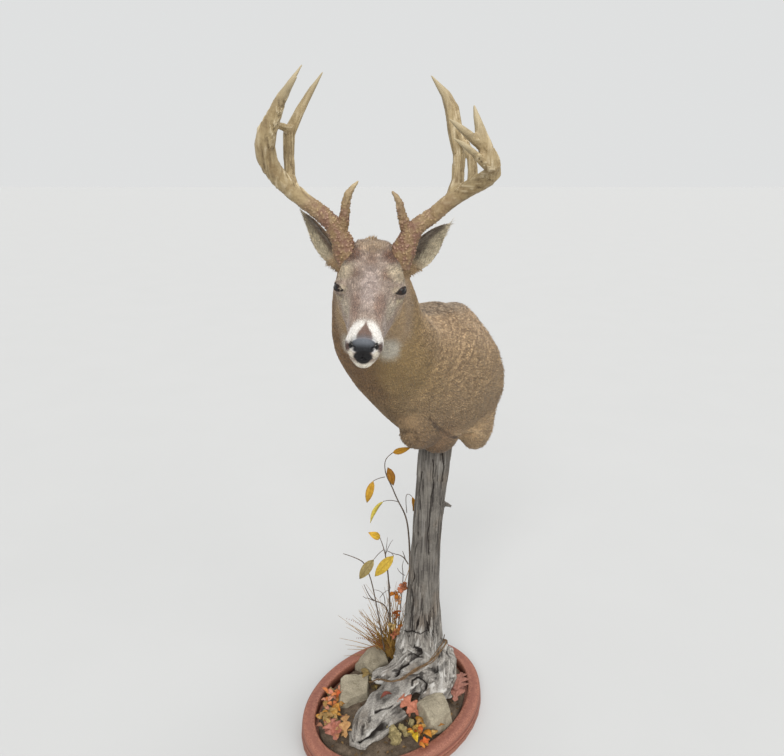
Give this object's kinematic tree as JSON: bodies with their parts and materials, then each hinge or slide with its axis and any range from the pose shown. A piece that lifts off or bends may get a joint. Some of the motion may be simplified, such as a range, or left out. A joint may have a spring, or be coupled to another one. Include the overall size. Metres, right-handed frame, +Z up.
{
  "type": "whitetail buck pedestal shoulder mount",
  "caption": "Life-size whitetail buck shoulder mount, head turned, on a driftwood trunk in an oval base dressed as forest floor; a still display piece.",
  "frame": {"origin": "middle of the oval base's underside", "axes": "+Z up; the buck looks along -Y, and its left is towards +X; the base's long axis lies 47 degrees from +X"},
  "size_m": [0.5723, 0.7585, 1.7638],
  "materials": {
    "face_coat": "short grey-brown hair, white behind the nose and round the chin",
    "body_coat": "dense tan winter hair, browner on the brisket",
    "glass_eye": "polished dark glass",
    "antler": "brown pearled bone, paler at the tips",
    "driftwood": "weathered silver grey, cracked along the grain",
    "stained_wood": "red-brown stain, satin",
    "soil": "dry earth",
    "stone": "rough grey-green stone",
    "leaf": "yellow autumn leaf",
    "dry_grass": "dry golden stalks",
    "twig": "thin grey-brown bark"
  },
  "bodies": {
    "root": {"antler_left_beam_lower": "antler", "antler_left_beam_upper": "antler", "antler_left_brow": "antler", "antler_left_g2": "antler", "antler_left_g3": "antler", "antler_left_knob": "antler", "antler_left_lower": "antler", "antler_left_upper": "antler", "antler_right_beam_lower": "antler", "antler_right_beam_upper": "antler", "antler_right_brow": "antler", "antler_right_g2": "antler", "antler_right_g3": "antler", "antler_right_web": "antler", "back_panel": "stained_wood", "bare_twig": "twig", "base_board": "stained_wood", "base_ring": "stained_wood", "dark_twig": "twig", "ear_left": "body_coat", "ear_right": "body_coat", "eye_left": "glass_eye", "eye_right": "glass_eye", "fern": "dry_grass", "grass_left": "dry_grass", "grass_low": "dry_grass", "grass_mid": "dry_grass", "grass_right": "dry_grass", "grass_tall": "dry_grass", "head": "face_coat", "leaf_brown": "leaf", "leaf_gold": "leaf", "leaf_grey": "leaf", "leaf_hanging": "leaf", "leaf_narrow": "leaf", "leaf_post": "leaf", "leaf_side": "leaf", "leaf_stalk_gold": "twig", "leaf_stalk_grey": "twig", "leaf_stalk_high": "twig", "leaf_stalk_mid": "twig", "leaf_stalk_post": "twig", "leaf_top": "leaf", "neck": "body_coat", "post": "driftwood", "post_knot": "driftwood", "rock_back": "stone", "rock_left": "stone", "rock_right": "stone", "root_burl": "driftwood", "root_left": "driftwood", "root_long": "driftwood", "root_prong": "driftwood", "sapling_stem": "twig", "shoulders": "body_coat", "side_stem": "twig", "soil": "soil"}
  },
  "joints": []
}
